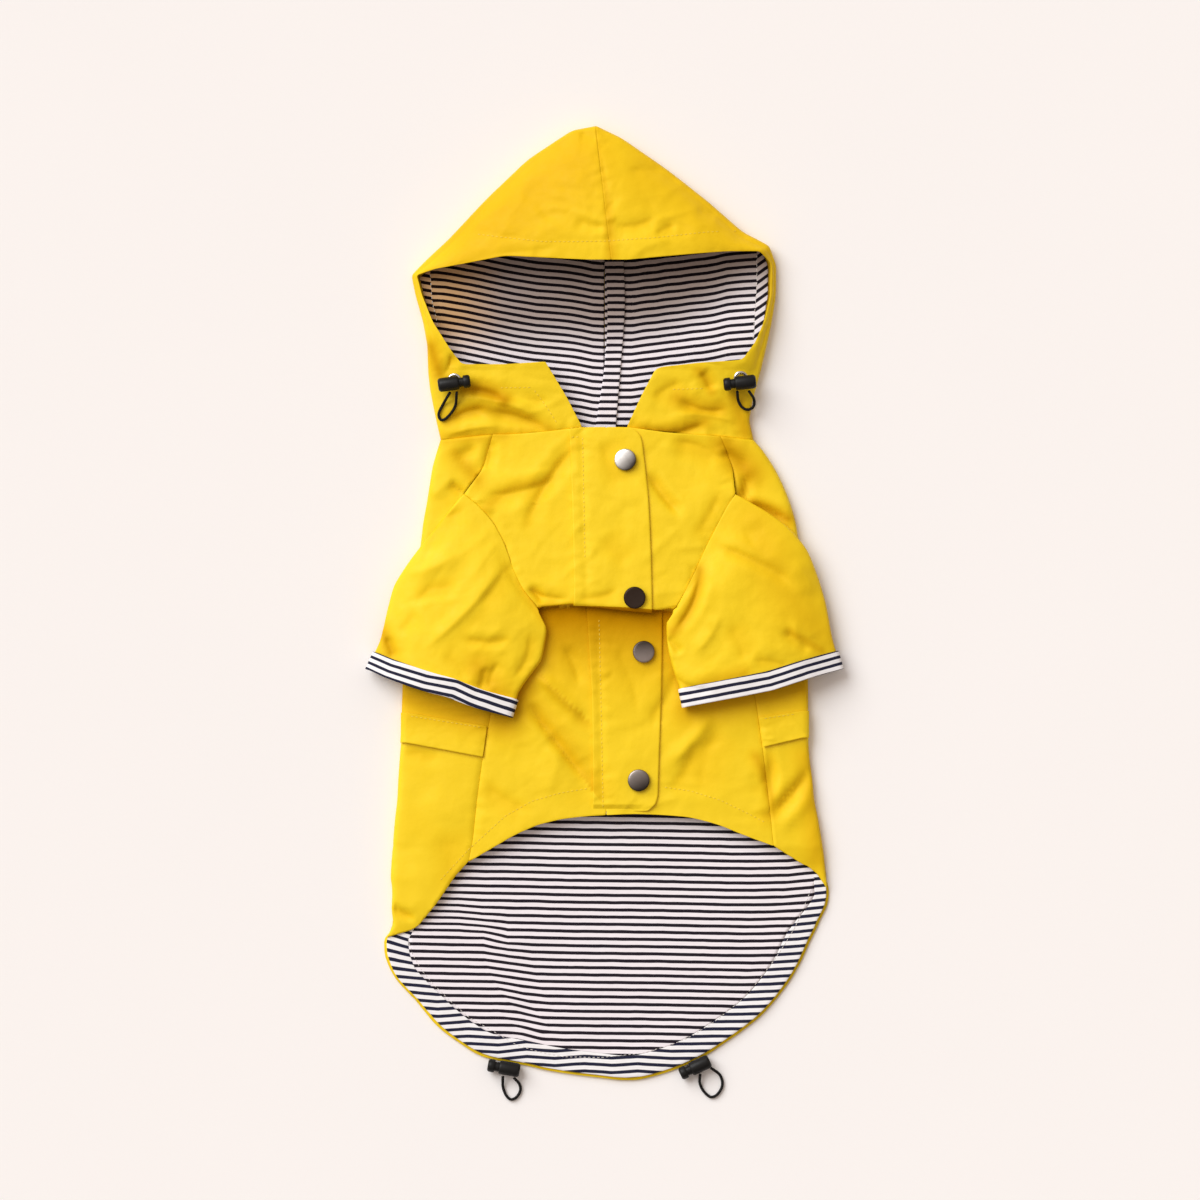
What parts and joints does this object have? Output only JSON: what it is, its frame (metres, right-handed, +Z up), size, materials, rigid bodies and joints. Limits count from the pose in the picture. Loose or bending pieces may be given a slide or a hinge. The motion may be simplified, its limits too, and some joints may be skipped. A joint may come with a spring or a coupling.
{
  "type": "dog raincoat",
  "caption": "Hooded dog raincoat laid flat on its back, with striped lining, turned-up cuffs, snap placket, pocket flaps, long tail flap and cord locks.",
  "frame": {"origin": "on the surface it lies on, under the middle of the coat's length and width", "axes": "+Y points from the tail to the hood's peak, +X to the right of someone looking down on it, +Z up from the surface"},
  "size_m": [0.2876, 0.5855, 0.0296],
  "materials": {
    "yellow_shell": "coated woven cloth, satin",
    "striped_lining": "plain woven cotton, navy and white stripes",
    "gunmetal": "dark satin metal",
    "silver": "plated metal",
    "black_plastic": "moulded plastic",
    "black_elastic": "braided elastic"
  },
  "bodies": {
    "coat": {"back": "yellow_shell", "front_left": "yellow_shell", "front_right": "yellow_shell", "placket_upper": "yellow_shell", "placket_lower": "yellow_shell", "sleeve_left": "yellow_shell", "sleeve_right": "yellow_shell", "pocket_flap_left": "yellow_shell", "pocket_flap_right": "yellow_shell", "hood_left": "yellow_shell", "hood_right": "yellow_shell", "tail_lining": "striped_lining", "tail_facing": "striped_lining", "hood_lining_left": "striped_lining", "hood_lining_right": "striped_lining", "hood_seam_band": "striped_lining", "cuff_left": "striped_lining", "cuff_right": "striped_lining", "snap_1": "gunmetal", "snap_2": "gunmetal", "snap_3": "gunmetal", "snap_4": "gunmetal", "eyelet_left": "silver", "eyelet_right": "silver", "lock_barrel_hood_left": "black_plastic", "lock_barrel_hood_right": "black_plastic", "lock_barrel_tail_left": "black_plastic", "lock_barrel_tail_right": "black_plastic", "cord_hood_left": "black_elastic", "cord_hood_right": "black_elastic", "cord_tail_left": "black_elastic", "cord_tail_right": "black_elastic"},
    "plunger_hood_left": {"lock_plunger_hood_left": "black_plastic"},
    "plunger_hood_right": {"lock_plunger_hood_right": "black_plastic"},
    "plunger_tail_left": {"lock_plunger_tail_left": "black_plastic"},
    "plunger_tail_right": {"lock_plunger_tail_right": "black_plastic"}
  },
  "joints": [
    {"name": "press_hood_left", "type": "slide", "parent": "coat", "child": "plunger_hood_left", "axis": [-0.9903, -0.1392, 0], "range_m": [0, 0.0025], "stiffness_N_per_m": 400, "springref_m": -0.004},
    {"name": "press_hood_right", "type": "slide", "parent": "coat", "child": "plunger_hood_right", "axis": [0.9945, 0.1045, 0], "range_m": [0, 0.0025], "stiffness_N_per_m": 400, "springref_m": -0.004},
    {"name": "press_tail_left", "type": "slide", "parent": "coat", "child": "plunger_tail_left", "axis": [0.9848, -0.1736, 0], "range_m": [0, 0.0025], "stiffness_N_per_m": 400, "springref_m": -0.004},
    {"name": "press_tail_right", "type": "slide", "parent": "coat", "child": "plunger_tail_right", "axis": [0.9063, 0.4226, 0], "range_m": [0, 0.0025], "stiffness_N_per_m": 400, "springref_m": -0.004}
  ]
}
